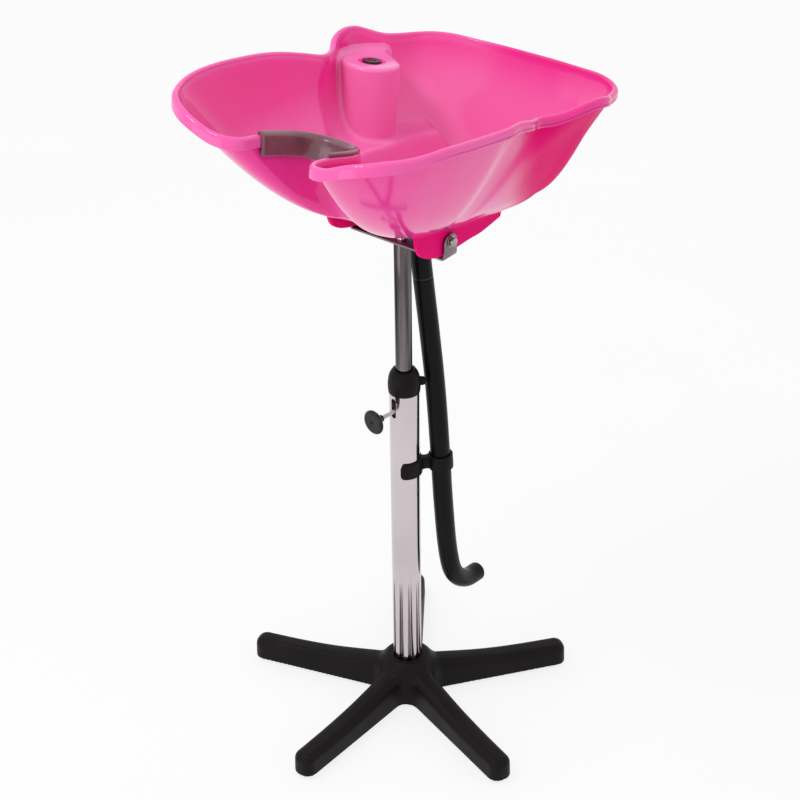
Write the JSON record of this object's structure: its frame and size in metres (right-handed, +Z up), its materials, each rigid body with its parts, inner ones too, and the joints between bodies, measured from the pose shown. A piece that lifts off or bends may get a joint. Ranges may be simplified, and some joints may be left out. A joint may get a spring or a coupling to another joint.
{
  "type": "backwash shampoo unit",
  "caption": "Free-standing hair-washing bowl with a neck recess and tap pillar, tilting on a height-adjustable chrome column over a star base, with a waste hose.",
  "frame": {"origin": "on the floor, under the middle of the unit's box measured without the hoses; the column's axis stands 14 mm from it towards -Y", "axes": "+Z up along the column; -Y towards the neck recess, where the client sits; +X to the right of somebody facing the recess's open side from behind the bowl"},
  "size_m": [0.5138, 0.5824, 1.0718],
  "materials": {
    "pink_gloss": "high gloss moulded plastic, through coloured",
    "black_nylon": "moulded satin",
    "black_rubber": "matt",
    "hose_black": "soft satin",
    "pad_rubber": "soft, glossy",
    "chrome": "polished",
    "dark_steel": "dark satin",
    "zinc": "plated",
    "grey_plastic": "moulded"
  },
  "bodies": {
    "base": {"base_star": "black_nylon", "rubber_foot_1": "black_rubber", "rubber_foot_2": "black_rubber", "rubber_foot_3": "black_rubber", "rubber_foot_4": "black_rubber", "rubber_foot_5": "black_rubber", "pole_spigot": "black_nylon", "hub_bolt": "zinc", "hub_washer": "zinc", "outer_tube": "chrome", "column_collar": "black_nylon", "clamp_nut_plate": "zinc"},
    "clamp_pad": {"clamp_pad": "grey_plastic"},
    "clamp_knob": {"clamp_knob": "black_nylon"},
    "hose_swivel": {"hose_clip": "black_nylon", "waste_hose": "hose_black"},
    "mast": {"inner_tube": "chrome", "tube_end_plug": "black_nylon", "mast_plug": "dark_steel", "mast_bolt": "chrome", "tilt_bracket": "dark_steel", "hose_joiner": "black_nylon", "tilt_bolt_right": "zinc", "tilt_washer_right": "zinc", "tilt_nut_right": "zinc", "tilt_bolt_left": "zinc", "tilt_washer_left": "zinc", "tilt_nut_left": "zinc"},
    "bowl": {"bowl_shell": "pink_gloss", "neck_pad": "pad_rubber", "drain_strainer": "chrome", "drain_back_nut": "grey_plastic", "drain_tailpiece": "grey_plastic", "hose_clamp": "zinc", "hose_connector": "hose_black"},
    "tap_plug": {"tap_hole_plug": "black_nylon"},
    "drain_stopper": {"drain_stopper": "black_rubber"}
  },
  "joints": [
    {"name": "clamp_screw_feed", "type": "slide", "parent": "base", "child": "clamp_pad", "axis": [-0.1219, -0.9925, 0], "range_m": [0, 0.0025]},
    {"name": "clamp_knob_turn", "type": "hinge", "parent": "clamp_pad", "child": "clamp_knob", "pos_m": [0, -0.014, 0.539], "axis": [-0.1219, -0.9925, 0], "range_deg": [0, 720]},
    {"name": "mast_swivel", "type": "hinge", "parent": "base", "child": "hose_swivel", "pos_m": [0, -0.014, 0.437], "axis": [0, 0, 1], "range_deg": [-90, 90]},
    {"name": "mast_height", "type": "slide", "parent": "hose_swivel", "child": "mast", "axis": [0, 0, 1], "range_m": [-0.16, 0.12], "deforming": ["waste_hose"]},
    {"name": "bowl_tilt", "type": "hinge", "parent": "mast", "child": "bowl", "pos_m": [0, -0.014, 0.838], "axis": [1, 0, 0], "range_deg": [-8, 15], "deforming": ["hose_connector"]},
    {"name": "tap_plug_lift", "type": "slide", "parent": "bowl", "child": "tap_plug", "axis": [0, 0.1582, 0.9874], "range_m": [0, 0.03]},
    {"name": "stopper_lift", "type": "slide", "parent": "bowl", "child": "drain_stopper", "axis": [0, 0.1582, 0.9874], "range_m": [0, 0.06]}
  ],
  "couplings": [
    {"joint": "clamp_screw_feed", "follows": "clamp_knob_turn", "m_per_rad": 0.00019894}
  ]
}
